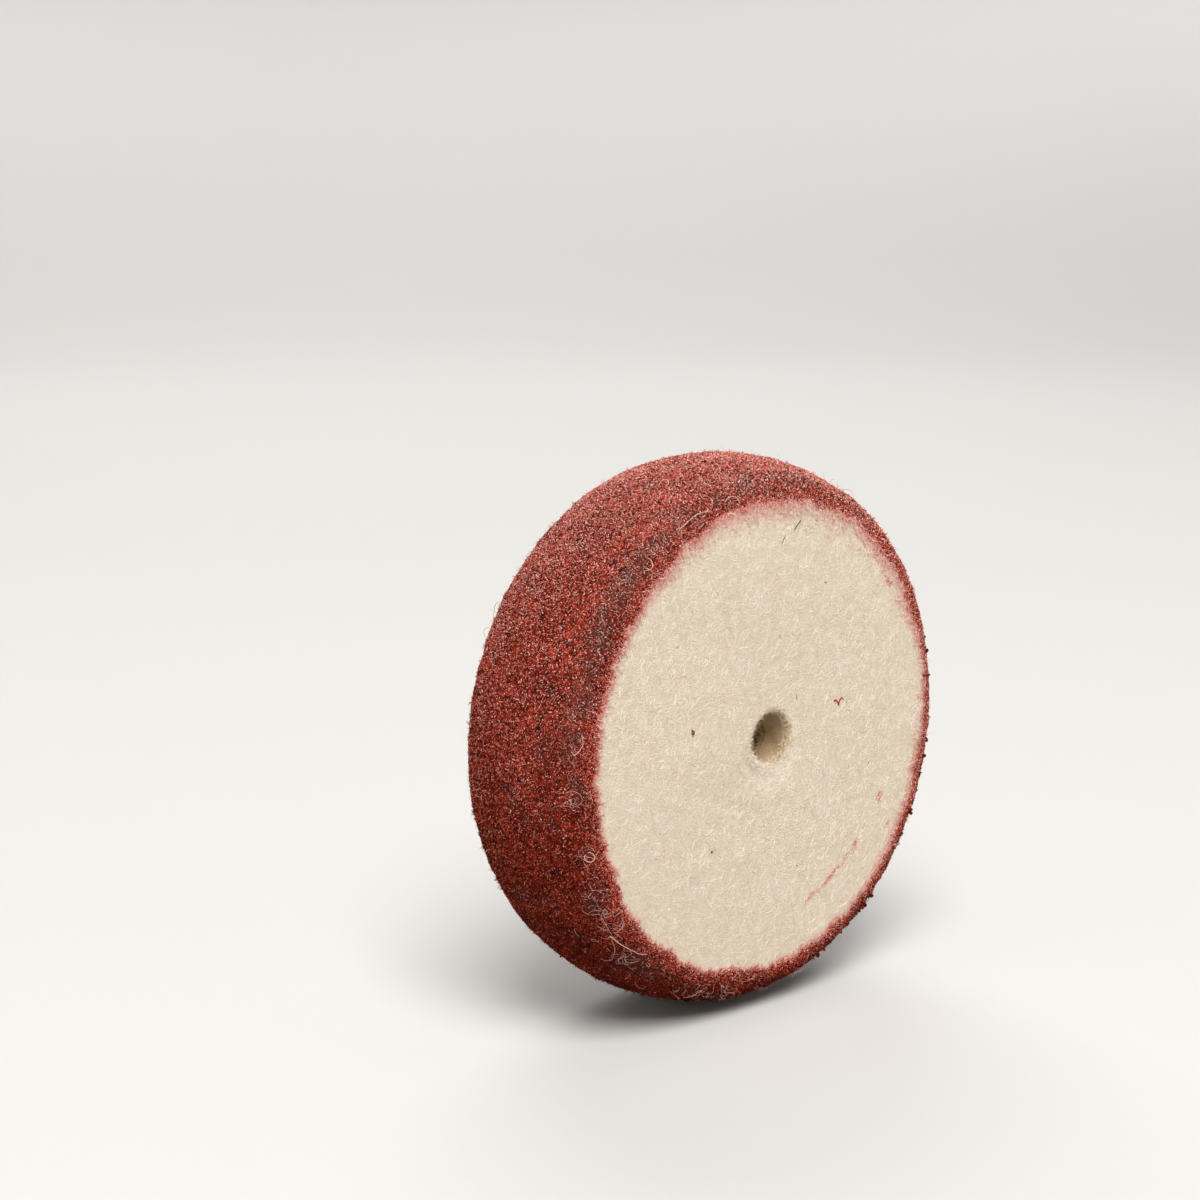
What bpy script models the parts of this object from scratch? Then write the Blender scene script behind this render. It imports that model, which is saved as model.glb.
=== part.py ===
"""Felt polishing wheel: a pressed wool felt disc with an arbor hole, and the red compound coat on its rim.

The origin is the middle of the wheel. The arbor hole runs along Y, the front face looks towards -Y and
the wheel stands on its rim. Lengths are in metres.
"""
import math

import bmesh
import bpy

# Driving dimensions of the wheel's outline
WHEEL_RADIUS = 0.050
WHEEL_WIDTH = 0.030
CROWN_RADIUS = 0.029        # the rim is barrelled: its section is an arc of this radius
SHOULDER_RADIUS = 0.0059    # the arc that joins the rim to each flat face
BORE_RADIUS = 0.005
BORE_CHAMFER = 0.0006       # the hole's edge is softened by use

# The compound coat
COAT_THICKNESS = 0.0015
CONTACT_GAP = 0.0003        # clearance between the coat and the felt that it covers

# Resolution
TURN_STEPS = 64
SHOULDER_STEPS = 5
CROWN_STEPS = 8
SHARP_ANGLE = math.radians(40)

# Where the arcs meet. The shoulder's arc touches the face plane and the crown's arc.
HALF_WIDTH = WHEEL_WIDTH / 2
CROWN_CENTRE = WHEEL_RADIUS - CROWN_RADIUS
SHOULDER_HEIGHT = HALF_WIDTH - SHOULDER_RADIUS
FACE_RADIUS = CROWN_CENTRE + math.sqrt((CROWN_RADIUS - SHOULDER_RADIUS) ** 2 - SHOULDER_HEIGHT ** 2)
CROWN_HALF_ANGLE = math.atan2(SHOULDER_HEIGHT, FACE_RADIUS - CROWN_CENTRE)


def clear_scene():
    for obj in list(bpy.data.objects):
        bpy.data.objects.remove(obj, do_unlink=True)


def make_material(name, colour, roughness):
    material = bpy.data.materials.new(name)
    material.use_nodes = True
    shader = material.node_tree.nodes["Principled BSDF"]
    shader.inputs["Base Color"].default_value = (*colour, 1.0)
    shader.inputs["Roughness"].default_value = roughness
    shader.inputs["Metallic"].default_value = 0.0
    return material


def arc(centre_x, centre_z, radius, start, end, steps):
    """Points of an arc from one angle to another, both measured from +X towards +Z."""
    points = []
    for step in range(steps + 1):
        angle = start + (end - start) * step / steps
        points.append((centre_x + radius * math.cos(angle), centre_z + radius * math.sin(angle)))
    return points


def rim_outline(depth):
    """The rim and both shoulders, a depth below the wheel's surface, from the top face to the bottom one."""
    shoulder = SHOULDER_RADIUS - depth
    top = arc(FACE_RADIUS, SHOULDER_HEIGHT, shoulder, math.pi / 2, CROWN_HALF_ANGLE, SHOULDER_STEPS)
    crown = arc(CROWN_CENTRE, 0.0, CROWN_RADIUS - depth, CROWN_HALF_ANGLE, -CROWN_HALF_ANGLE, CROWN_STEPS)
    bottom = [(x, -z) for x, z in reversed(top)]
    return top + crown[1:-1] + bottom


def felt_section():
    """Half section of the felt: face, step down under the coat, rim, and back along the hole."""
    face_edge = FACE_RADIUS - CONTACT_GAP
    rim = rim_outline(COAT_THICKNESS + CONTACT_GAP)
    step = rim[0][1]
    chamfer_radius = BORE_RADIUS + BORE_CHAMFER
    chamfer_height = HALF_WIDTH - BORE_CHAMFER
    top = [(chamfer_radius, HALF_WIDTH), (face_edge, HALF_WIDTH), (face_edge, step)]
    bottom = [(x, -z) for x, z in reversed(top)]
    hole = [(BORE_RADIUS, -chamfer_height), (BORE_RADIUS, chamfer_height)]
    return top + rim + bottom + hole


def coat_section():
    """Half section of the coat: the wheel's own outline outside, the same outline one thickness in inside."""
    return rim_outline(0.0) + list(reversed(rim_outline(COAT_THICKNESS)))


def turned_object(name, section, material, axis):
    """A closed section in the XZ plane, spun once around Z."""
    bm = bmesh.new()
    corners = [bm.verts.new((x, 0.0, z)) for x, z in section]
    for first, second in zip(corners, corners[1:] + corners[:1]):
        bm.edges.new((first, second))
    bmesh.ops.spin(bm, geom=bm.verts[:] + bm.edges[:], cent=(0.0, 0.0, 0.0), axis=(0.0, 0.0, 1.0),
                   angle=2 * math.pi, steps=TURN_STEPS, use_merge=True)
    bmesh.ops.recalc_face_normals(bm, faces=bm.faces[:])
    mesh = bpy.data.meshes.new(name)
    bm.to_mesh(mesh)
    bm.free()
    mesh.shade_smooth()
    mesh.set_sharp_from_angle(angle=SHARP_ANGLE)
    mesh.materials.append(material)

    obj = bpy.data.objects.new(name, mesh)
    bpy.context.scene.collection.objects.link(obj)
    obj.parent = axis
    return obj


def make_wheel_axis():
    """An empty on the wheel's axis, whose +Z looks out of the front face."""
    axis = bpy.data.objects.new("wheel_axis", None)
    bpy.context.scene.collection.objects.link(axis)
    axis.rotation_euler = (math.pi / 2, 0.0, 0.0)
    return axis


def make_felt_body(axis):
    """The disc of pressed wool felt, with the arbor hole."""
    cream = make_material("cream_felt", (0.78, 0.67, 0.52), 0.95)
    return turned_object("felt_body", felt_section(), cream, axis)


def make_rim_coat(axis):
    """The skin of red compound around the rim and both shoulders."""
    red = make_material("red_compound", (0.27, 0.065, 0.048), 0.9)
    return turned_object("rim_coat", coat_section(), red, axis)


def main():
    clear_scene()
    axis = make_wheel_axis()
    make_felt_body(axis)
    make_rim_coat(axis)
    bpy.context.view_layer.update()


main()
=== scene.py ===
"""The looks of the felt polishing wheel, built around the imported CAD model.

The wheel stands on its rim, with its arbor hole along Y and its front face towards -Y. A place on it has a
clock, the angle from the top, clockwise as seen from the front, a radius, and a y along the hole. On the rim
and the faces a place also has a run: the distance along the wheel's section from the middle of the rim,
negative towards the front face. A side is -1 for the front and 1 for the rear. Lengths are in metres.
"""
import itertools
import math

import bmesh
import bpy
import numpy as np
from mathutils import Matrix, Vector


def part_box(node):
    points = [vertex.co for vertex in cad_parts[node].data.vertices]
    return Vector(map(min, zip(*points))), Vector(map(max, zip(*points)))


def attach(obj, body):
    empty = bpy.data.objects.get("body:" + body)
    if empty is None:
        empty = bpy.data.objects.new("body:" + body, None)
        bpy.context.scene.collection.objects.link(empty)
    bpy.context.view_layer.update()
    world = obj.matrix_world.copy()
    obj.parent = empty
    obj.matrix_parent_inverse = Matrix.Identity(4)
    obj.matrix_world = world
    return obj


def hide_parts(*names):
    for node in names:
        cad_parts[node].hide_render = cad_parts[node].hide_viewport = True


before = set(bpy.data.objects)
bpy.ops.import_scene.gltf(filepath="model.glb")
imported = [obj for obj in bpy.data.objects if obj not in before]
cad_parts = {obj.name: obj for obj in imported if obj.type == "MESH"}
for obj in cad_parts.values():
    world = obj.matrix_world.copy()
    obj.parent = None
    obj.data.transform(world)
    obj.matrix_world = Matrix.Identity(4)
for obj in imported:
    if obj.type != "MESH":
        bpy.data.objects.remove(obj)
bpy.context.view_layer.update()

MM = 0.001
TURN = 2 * math.pi

# The wheel's section, as the CAD model has it
felt_low, felt_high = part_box("felt_body")
coat_low, coat_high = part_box("rim_coat")
HALF_WIDTH = (felt_high[1] - felt_low[1]) / 2
WHEEL_RADIUS = (coat_high[0] - coat_low[0]) / 2
CROWN_RADIUS = 29.0 * MM
SHOULDER_RADIUS = 5.9 * MM
BORE_RADIUS = 5.0 * MM
CROWN_CENTRE = WHEEL_RADIUS - CROWN_RADIUS
SHOULDER_HEIGHT = HALF_WIDTH - SHOULDER_RADIUS
FACE_RADIUS = CROWN_CENTRE + math.sqrt((CROWN_RADIUS - SHOULDER_RADIUS) ** 2 - SHOULDER_HEIGHT ** 2)
CROWN_ANGLE = math.atan2(SHOULDER_HEIGHT, FACE_RADIUS - CROWN_CENTRE)
CROWN_RUN = CROWN_RADIUS * CROWN_ANGLE
FACE_RUN = CROWN_RUN + SHOULDER_RADIUS * (math.pi / 2 - CROWN_ANGLE)

# The felt's surface
FELT_TURNS = 495
FACE_ROWS = 66
LIP_RADIUS = 1.5 * MM           # rounding of the hole's edge
LIP_END = BORE_RADIUS + LIP_RADIUS
LIP_ARC = math.pi / 2 * LIP_RADIUS
LIP_SWELL = 0.40 * MM           # the felt swells a little into the hole
LIGHT_LIP_CLOCK = math.radians(190)     # the hole's edge is whitest here, painted as lit: the painted shade inside the hole starts deepest here
DIMPLE_DEPTH = 0.20 * MM        # the felt is pressed in around the hole
DIMPLE_REACH = 3.5 * MM
SCOOP_DEPTH = 0.30 * MM         # below the hole its edge is worn down further
SCOOP_REACH = 2.4 * MM
SCOOP_CLOCK = math.radians(185)
LEAN = 0.65 * MM                # the hole's wall stands in further on one side, and less on the other
LEAN_CLOCK = math.radians(293)
UNDER_COAT = 1.0 * MM           # how deep the felt lies under the coat
FUZZ_FIBRES = 9000              # on each face
BORE_FIBRES = 2300
BORE_STAINED = 60               # of them, the dark red ones inside the hole
STAIN_CLOCK = math.radians(105)
SMUDGE_CLOCK = math.radians(222)
SMUDGE_RADIUS = 11.0 * MM

# The coat
COAT_TURNS = 1000
COAT_ROWS = 90
COAT_INNER_ROWS = 7
COAT_DEPTH = 1.3 * MM           # from the wheel's outline to the coat's inner surface
COAT_TUCK = 0.8 * MM            # how far the coat's skin goes on past the edge of the red, under the felt
GRAIN_SIZE = 0.9 * MM
GRAIN_HEIGHT = 0.08 * MM
NAP_HAIRS = 168000
NAP_PIECES = 14
PLASTIC_NUMBER = 1.324717957244746      # spreads the nap's hairs evenly
STUBBLE_HAIRS = 9000
FRINGE_HAIRS = 8900             # on each side
STRAY_HAIRS = 380
SHOULDER_LINT = 200             # single hairs of lint on both shoulders, and all over the rim
SCATTERED_LINT = 110
FRESH_REACH = 1.9 * MM          # next to the felt the red is fresh and clean
BAND_RUN = -13.9 * MM           # the charred band lies on the shoulder
BAND_REACH = 2.3 * MM
PINKER_CLOCK = math.radians(95)  # the front shoulder is paler and pinker on this side
CRUMB_CLOCKS = np.radians([70, 175])    # the larger crumbs lie between these clocks

# How far the red stands out past the edge of the flat face, and how wide its pink bleed is, round the clock
EDGE_CLOCKS = np.radians([0, 45, 90, 120, 150, 180, 225, 270, 315, 360])
EDGE_OUT = np.array([0.9, 0.9, 0.9, 0.7, 0.5, 0.2, 0.3, 0.5, 0.6, 0.9]) * MM
EDGE_BLEED = np.array([3.4, 3.0, 1.3, 2.2, 1.2, 0.9, 0.5, 0.8, 2.0, 3.4]) * MM
REAR_OUT = 0.4 * MM
REAR_BLEED = 1.8 * MM

# The thin red streak on the front face: its radius and how strong it is, round the clock
STREAK_PATH = (np.radians([116, 124, 133, 150, 162, 173]),
               np.array([34.7, 34.3, 33.6, 33.2, 33.6, 34.6]) * MM)
STREAK_STRENGTH = (
    np.radians([114, 116, 119, 120, 123, 125, 129, 132, 135, 139, 145, 150, 155, 162, 164, 167, 172, 174]),
    np.array([0, 1, 0.9, 0, 0.35, 0, 0.6, 0.3, 0.9, 0.5, 0.8, 1, 0.6, 1, 0, 0.25, 0.25, 0]))
STREAK_TRIES = 760
# Patches of red fibres near the rim: clock in degrees, radius and spread in mm, and number of fibres
RED_PATCHES = [
    (111, 42.3, 1.1, 110), (104, 42.8, 0.8, 50), (123, 39.6, 0.45, 30), (51.7, 40.3, 0.5, 60),
    (42.6, 41.7, 0.7, 36), (62, 42.4, 0.8, 30), (88, 41.2, 0.5, 24), (98, 40.6, 0.5, 24),
    (128, 41.6, 0.7, 20), (117.5, 34.6, 0.42, 34), (135.5, 33.5, 0.4, 20),
]
# Specks on the front face: clock in degrees, radius and size in mm, and colour: 0 soot, 1 brown, 2 pink
FRONT_SPECKS = [
    (282.4, 20.3, 0.70, 1), (283.6, 20.6, 0.42, 1), (219.5, 23.2, 0.40, 0), (163.2, 25.9, 0.35, 0),
    (27.8, 30.3, 0.30, 0), (187, 23.4, 0.25, 2), (190, 24, 0.20, 2), (147, 17, 0.22, 0),
    (65, 27, 0.2, 1), (310, 31, 0.22, 1), (240, 33, 0.2, 0), (108, 28.5, 0.22, 1),
]
REAR_SPECKS = 14
RIM_SPECK = (297.9, -9.1 * MM, 0.38, 3)         # the teal one: clock in degrees, run, size in mm and colour
# Hairs on the faces: clock in degrees and radius in mm of the place, points to the right and up of it in mm,
# thickness in mm, colour (0 soot, 1 red, 2 brown, 3 pink, 4 dark red) and side. On the rear, right is left.
FACE_HAIRS = [
    (9, 38.2, [(1.3, 1), (0.6, 0.6), (0, 0), (-0.5, -0.6)], 0.17, 0, -1),
    (4.6, 36, [(0.6, 0.8), (0, 0.1), (-0.3, -0.4), (-0.5, -1)], 0.10, 0, -1),
    (77, 18.8, [(-1.35, 0.2), (-0.85, 0.4), (-0.4, 0), (0, -0.75)], 0.34, 4, -1),
    (77, 18.8, [(0, -0.75), (0.1, 0), (0.55, 0.55), (0.9, 0.5), (1.3, 0)], 0.32, 4, -1),
    (6.7, 18.5, [(0.05, 0.5), (0, 0), (0.1, -0.4)], 0.09, 2, -1),
    (46, 9.5, [(-0.1, 0.6), (0, 0.1), (-0.05, -0.5)], 0.13, 2, -1),
    (76, 21, [(0, -1.1), (0.1, -1.5)], 0.09, 2, -1),
    (330, 33, [(-0.5, 0.3), (0, 0), (0.2, -0.6)], 0.05, 2, -1),
    (118, 34.7, [(0.2, 1), (0, 0.2), (-0.4, -0.9)], 0.12, 3, -1),
    (143, 33.6, [(1.2, 1.3), (0.4, 0.6), (0.1, -0.2), (-0.9, -1)], 0.09, 3, -1),
    (152, 33.2, [(1.5, 0.8), (0.6, 0.5), (-0.2, -0.3), (-1.3, -0.6)], 0.11, 1, -1),
    (159, 33.4, [(1.6, 0.4), (0.5, 0.2), (-0.6, -0.3), (-1.7, -0.2)], 0.10, 3, -1),
    (40, 31, [(-1.6, 0.4), (-0.4, 0.8), (0.8, 0.3), (1.5, -0.9)], 0.08, 0, 1),
    (150, 24, [(-0.7, 0.6), (0, -0.2), (0.5, 0.4), (0.9, -0.3)], 0.16, 1, 1),
    (235, 36, [(-1.4, 0.9), (-0.3, 0.1), (0.6, -0.4), (1.4, -1.5)], 0.10, 3, 1),
    (300, 17, [(-0.3, 0.5), (0.1, 0), (0.2, -0.6)], 0.10, 2, 1),
    (95, 35, [(0.2, 1.8), (0, 0.6), (0.1, -0.5), (-0.2, -1.6)], 0.09, 3, 1),
]
# Lint tufts on the rim: clock in degrees, run in mm, number of hairs and spread in mm
LINT_TUFTS = [
    (275.8, -14.5, 7, 1.4), (265.3, -13.9, 7, 1.2), (253.4, -14.5, 4, 0.8), (244.6, -14.2, 5, 1.2),
    (238.8, -14.2, 8, 0.8), (234.5, -13.8, 7, 0.6), (231, -14, 4, 1.2), (225.5, -12.4, 9, 0.5),
    (331.7, -14.6, 7, 1.6), (322, -14.4, 5, 1.5), (312, -14, 5, 1.6), (300, -14.3, 4, 1.6),
    (200, -14, 11, 2.4), (190, -14.4, 9, 2.2), (168, -13, 8, 0.7), (176, -12, 5, 0.7),
    (20, 14.2, 7, 1.5), (75, 14.4, 9, 1.6), (118, 13.8, 11, 1.4), (160, 14.2, 8, 1.8),
    (215, 14, 10, 1.5), (262, 14.4, 7, 1.3), (318, 13.9, 8, 1.7),
]
# Long hairs on the rim: clock in degrees, run in mm, heading in degrees, length in mm, turn in degrees and
# lift in mm
LOOSE_HAIRS = [
    (253.8, -14.8, 120, 4.2, 330, 0.9), (238, -13.5, -150, 6.5, -70, 1), (232.5, -13.2, -165, 9, 60, 1.1),
    (231, -12.9, -170, 7.5, -95, 1.2), (275.5, -14, -60, 4, 90, 0.9), (265, -14.5, -80, 5, 150, 0.9),
    (331, -14.9, 10, 8, -40, 0.9), (329.5, -15.4, 20, 6, 50, 0.8), (338.8, -6.2, -30, 3.6, 200, 0.8),
    (35, -9, 60, 3.2, 90, 1.6), (31, -7, 100, 2.8, -80, 1.7), (297, 9.5, 70, 3.4, 160, 1.7),
    (345, -15.6, 30, 4, -120, 0.8), (285, -15.4, -70, 3.4, -140, 0.8), (318, -15.2, -50, 3, 120, 0.8),
    (200, -14.6, 20, 5, 160, 0.9), (120, 14.2, 60, 6, 200, 1), (60, 13.6, -30, 5, -150, 0.9),
    (215, 14.6, 140, 7, 110, 1), (300, 14, 80, 5, -210, 0.9), (10, 9, 40, 4, 180, 0.9),
]

# The studio and the camera. VIEW_RIGHT, VIEW_UP and VIEW_AWAY place the wheel's middle in the view, in radii.
FLOOR = -WHEEL_RADIUS - 0.45 * MM       # the nap's tips reach below the wheel's outline
LOWEST_HAIR = FLOOR + 0.02 * MM
FLOOR_RADIUS = 1.6
FLOOR_CURVE = 1.4               # radius of the curve between the floor and the wall
WALL_HEIGHT = 2.6
SENSOR_WIDTH = 36
FIELD_OF_VIEW = math.radians(28.0)
VIEW_AZIMUTH = math.radians(-43.25)
VIEW_ELEVATION = math.radians(10.0)
VIEW_RIGHT, VIEW_UP, VIEW_AWAY = 0.400, -0.457, 8.748
NAP_OUTLINE = 0.35 * MM
LIGHT_SIZE = 1.3
LIGHTS = [("key_light", (-0.75, -1.02, 1.86), 88.5, (1.0, 0.985, 0.96)),
          ("rear_light", (0.95, 1.35, 1.45), 28.0, (1.0, 0.99, 0.98))]
SKY_COLOUR = (0.97, 0.98, 1.0, 1)
SKY_STRENGTH = 0.28

# Colours
CREAM = (0.775, 0.652, 0.507)
CREAM_LIGHT = (0.82, 0.715, 0.588)
CREAM_SHADE = (0.60, 0.48, 0.343)
CREAM_WHITE = (0.87, 0.80, 0.71)
SMUDGE = (0.55, 0.435, 0.29)
# Painted shade inside the hole and on some fibres round it, and a lighter painted fill deep in the hole,
# where the light falls off
SHADE_TAN = (0.55, 0.39, 0.215)
DEEP_FILL_TAN = (0.96, 0.69, 0.37)
PINK = (0.68, 0.25, 0.19)
PALE_PINK = (0.82, 0.54, 0.46)
STREAK = (0.66, 0.22, 0.18)
PALE = (0.84, 0.56, 0.50)
ROSE = (0.64, 0.24, 0.20)
DUSTY_RED = (0.52, 0.150, 0.115)
BRIGHT_RED = (0.58, 0.100, 0.056)
RED = (0.35, 0.037, 0.016)
DEEP_RED = (0.145, 0.013, 0.006)
# MAROON is painted shade in the coat's cracks and on dark nap hairs between the others; the crumbs have it as
# their own colour
MAROON = (0.034, 0.005, 0.003)
FIBRE_RED = (0.30, 0.045, 0.040)
FAWN = (0.44, 0.20, 0.16)
CHAR = (0.080, 0.033, 0.026)
GREY = (0.52, 0.33, 0.28)
SOOT = (0.020, 0.016, 0.014)
BROWN = (0.16, 0.055, 0.030)
TEAL = (0.16, 0.40, 0.38)
LINT = (0.72, 0.45, 0.38)
LINT_DULL = (0.46, 0.22, 0.18)
NAP_COLOURS = {
    "deep_red": DEEP_RED, "red": RED, "bright_red": BRIGHT_RED, "dusty_red": DUSTY_RED, "rose": ROSE,
    "pale": PALE, "maroon": MAROON, "fawn": FAWN, "char": CHAR, "grey": GREY,
}
FLOOR_GREY = (0.455, 0.449, 0.438)
WALL_GREY = (0.77, 0.765, 0.755)


# ---- noise

def cell_values(cells, seed):
    """A number from 0 to 1 for each whole-numbered cell, the same on every run."""
    mixed = (cells[..., 0] * 374761393 + cells[..., 1] * 668265263 + cells[..., 2] * 1440662683
             + seed * 974634777) & 0xFFFFFFFF
    mixed = ((mixed ^ (mixed >> 13)) * 1274126177) & 0xFFFFFFFF
    mixed = ((mixed ^ (mixed >> 15)) * 2246822519) & 0xFFFFFFFF
    return (mixed ^ (mixed >> 16)) / 0xFFFFFFFF


def noise(points, size, seed):
    """Smooth noise from -1 to 1, with features of one size."""
    places = np.asarray(points) / size + 0.37 * seed
    cells = np.floor(places).astype(np.int64)
    within = places - cells
    blend = within ** 3 * (within * (within * 6 - 15) + 10)
    total = np.zeros(places.shape[:-1])
    for corner in itertools.product((0, 1), repeat=3):
        weight = np.prod(np.where(corner, blend, 1 - blend), axis=-1)
        total += weight * cell_values(cells + np.array(corner), seed)
    return 2 * total - 1


def grains(points, size, seed):
    """Rounded grains: 1 at the middle of a grain, falling to 0 in the cracks between grains."""
    places = np.asarray(points) / size
    cells = np.floor(places).astype(np.int64)
    nearest = np.full(places.shape[:-1], 9.0)
    for step in itertools.product((-1, 0, 1), repeat=3):
        near = cells + np.array(step)
        centre = near + np.stack([cell_values(near, seed + k) for k in range(3)], axis=-1)
        nearest = np.minimum(nearest, ((centre - places) ** 2).sum(axis=-1))
    return np.clip(1 - nearest, 0, 1)


def ramp(values, low, high):
    """0 below low, 1 above high and smooth between them."""
    share = np.clip((np.asarray(values) - low) / (high - low), 0, 1)
    return share * share * (3 - 2 * share)


# ---- the wheel's shape

def full_turn(count):
    """Evenly spaced clocks once round."""
    return TURN * np.arange(count) / count


def around(clock, radius, y):
    clock, radius, y = np.broadcast_arrays(clock, radius, y)
    return np.stack([radius * np.sin(clock), y, radius * np.cos(clock)], axis=-1)


def towards(clock, middle):
    """1 at the clock named middle, falling to 0 opposite it."""
    return 0.5 + 0.5 * np.cos(clock - middle)


def face_run(radius):
    """The run on the rear face at a radius. On the front face it is negative."""
    return FACE_RUN + FACE_RADIUS - radius


def section(run):
    """Radius, y and the outward normal's two parts at a run along the wheel's section."""
    run = np.asarray(run, float)
    side, far = np.sign(run), np.abs(run)
    shoulder = CROWN_ANGLE + (far - CROWN_RUN) / SHOULDER_RADIUS
    on_crown, on_face = far <= CROWN_RUN, far > FACE_RUN
    angle = np.where(on_crown, far / CROWN_RADIUS, np.minimum(shoulder, math.pi / 2))
    radius = np.where(on_crown, CROWN_CENTRE + CROWN_RADIUS * np.cos(angle),
                      FACE_RADIUS + SHOULDER_RADIUS * np.cos(angle))
    y = np.where(on_crown, CROWN_RADIUS * np.sin(angle), SHOULDER_HEIGHT + SHOULDER_RADIUS * np.sin(angle))
    radius = np.where(on_face, FACE_RADIUS - (far - FACE_RUN), radius)
    return radius, side * y, np.cos(angle), side * np.sin(angle)


def on_outline(clock, run):
    """Points on the wheel's outline and the normals there."""
    radius, y, out, along = section(run)
    return around(clock, radius, y), around(clock, out, along)


def lip(angle):
    """Radius and height of the hole's rounded rear edge, from its wall at angle 0 to the face."""
    return LIP_END - LIP_RADIUS * np.cos(angle), HALF_WIDTH - LIP_RADIUS * (1 - np.sin(angle))


def edge_of_red(clock, side):
    """The run at which the red coat ends on one side."""
    out = np.interp(clock % TURN, EDGE_CLOCKS, EDGE_OUT) if side < 0 else REAR_OUT
    ring = around(clock, FACE_RADIUS, side * HALF_WIDTH)
    ragged = 0.55 * MM * noise(ring, 2.4 * MM, 3) + 0.35 * MM * noise(ring, 9 * MM, 4)
    tufts = 0.6 * MM * np.abs(noise(ring, 0.9 * MM, 5))
    return side * (FACE_RUN - out + ragged + tufts)


def inside_red(clock, run):
    """How far a place lies inside the red coat's edges. It is negative on the cream felt."""
    return np.minimum(run - edge_of_red(clock, -1), edge_of_red(clock, 1) - run)


def bleed_width(clock, side):
    """How far the pink bleed reaches from the red on one side."""
    front = np.interp(clock % TURN, EDGE_CLOCKS, EDGE_BLEED)
    return front if side < 0 else np.full_like(front, REAR_BLEED)


def coat_height(clock, run):
    """How far the coat stands above the wheel's outline, and the share of a grain's height there."""
    points, _ = on_outline(clock, run)
    grain = grains(points, GRAIN_SIZE, 11)
    lumps = 0.13 * MM * noise(points, 7 * MM, 12) + 0.13 * MM * noise(points, 2.4 * MM, 13)
    lumps = lumps + 0.07 * MM * noise(points, 1.1 * MM, 14)
    height = lumps + GRAIN_HEIGHT * (grain - 0.55)
    thin = ramp(inside_red(clock, run), -0.8 * MM, 1.0 * MM)
    return height * thin - 0.45 * MM * (1 - thin), grain


def turned_arcs(clock, radius, stretch):
    """Places for noise that runs in arcs round the wheel, finer across them by the stretch."""
    return np.stack([radius / stretch, clock * 9 * MM, 0 * radius], axis=-1)


def face_relief(points, clock, radius, seed):
    """Height of the felt's face above its plane."""
    waves = 0.07 * MM * noise(points, 19 * MM, seed) + 0.025 * MM * noise(points, 5 * MM, seed + 1)
    fine = 0.025 * MM * noise(points, 1.5 * MM, seed + 2)
    arcs = 0.02 * MM * noise(turned_arcs(clock, radius, 1.1), 1.0 * MM, seed + 3)
    dimple = -DIMPLE_DEPTH * np.exp(-((radius - BORE_RADIUS) / DIMPLE_REACH) ** 2)
    return waves + fine + arcs + dimple


def scoop(clock, radius, y):
    """1 where the front edge of the hole is worn down, below the middle, and 0 away from it."""
    off = np.maximum(radius - BORE_RADIUS - LIP_RADIUS, HALF_WIDTH - LIP_RADIUS - np.abs(y)).clip(0)
    turned = (1 - np.cos(clock - SCOOP_CLOCK)) / 0.5
    return np.where(y < 0, np.exp(-(off / SCOOP_REACH) ** 2 - turned ** 2), 0.0)


def felt_height(points, clock, run):
    """Height of the felt above the outline on its flat sides and shoulders, which dip under the coat."""
    radius = section(run)[0]
    relief = np.where(run < 0, face_relief(points, clock, radius, 21), face_relief(points, clock, radius, 31))
    relief = relief - SCOOP_DEPTH * scoop(clock, radius, points[..., 1])
    covered = ramp(inside_red(clock, run), 0.0, 1.8 * MM)
    return relief * (1 - covered) - UNDER_COAT * covered


def hole_height(points, clock, radius, out):
    """Height of the felt above the outline inside the hole and on its rounded edges."""
    swell = LIP_SWELL + 0.22 * MM * noise(points, 1.8 * MM, 25) + 0.28 * MM * noise(points, 4.5 * MM, 26)
    swell = swell + LEAN * np.cos(clock - LEAN_CLOCK)
    worn = np.where(radius > BORE_RADIUS + 0.01 * MM, 0.0, SCOOP_DEPTH * scoop(clock, radius, points[..., 1]))
    return swell * np.minimum(out, 0) ** 2 - worn


def ground(clock, run):
    """Height of what lies on top above the wheel's outline: the felt on the faces, the coat on the rim."""
    points, _ = on_outline(clock, run)
    return np.maximum(felt_height(points, clock, run), coat_height(clock, run)[0])


# ---- meshes

def mesh_of(name, points, faces, materials, indices=None):
    """A smooth-shaded mesh from arrays. faces is a list of arrays, each with faces of one corner count."""
    mesh = bpy.data.meshes.new(name)
    points = np.asarray(points, np.float32).reshape(-1, 3)
    counts = np.concatenate([np.full(len(part), part.shape[1]) for part in faces])
    corners = np.concatenate([part.ravel() for part in faces])
    mesh.vertices.add(len(points))
    mesh.vertices.foreach_set("co", points.ravel())
    mesh.loops.add(len(corners))
    mesh.loops.foreach_set("vertex_index", corners.astype(np.int32))
    mesh.polygons.add(len(counts))
    mesh.polygons.foreach_set("loop_start", (np.cumsum(counts) - counts).astype(np.int32))
    if indices is not None:
        mesh.polygons.foreach_set("material_index", indices.astype(np.int32))
    for material in materials:
        mesh.materials.append(material)
    mesh.update(calc_edges=True)
    mesh.shade_smooth()
    return mesh


def link(name, data):
    thing = bpy.data.objects.new(name, data)
    bpy.context.scene.collection.objects.link(thing)
    return thing


def piece_of(name, mesh):
    """Puts a mesh in the scene as a piece of the wheel."""
    piece = link(name, mesh)
    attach(piece, "root")
    return piece


def add_fields(mesh, **fields):
    """Numbers at the mesh's points, for its material."""
    for name, values in fields.items():
        values = np.asarray(values, np.float32).ravel()
        mesh.attributes.new(name, "FLOAT", "POINT").data.foreach_set("value", values)


def closed_grid(rows, turns):
    """Quads of a grid that closes both ways round, rows by turns."""
    row, turn = np.meshgrid(np.arange(rows), np.arange(turns), indexing="ij")
    next_row, next_turn = (row + 1) % rows, (turn + 1) % turns
    return np.stack([row * turns + turn, row * turns + next_turn,
                     next_row * turns + next_turn, next_row * turns + turn], axis=-1).reshape(-1, 4)


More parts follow.
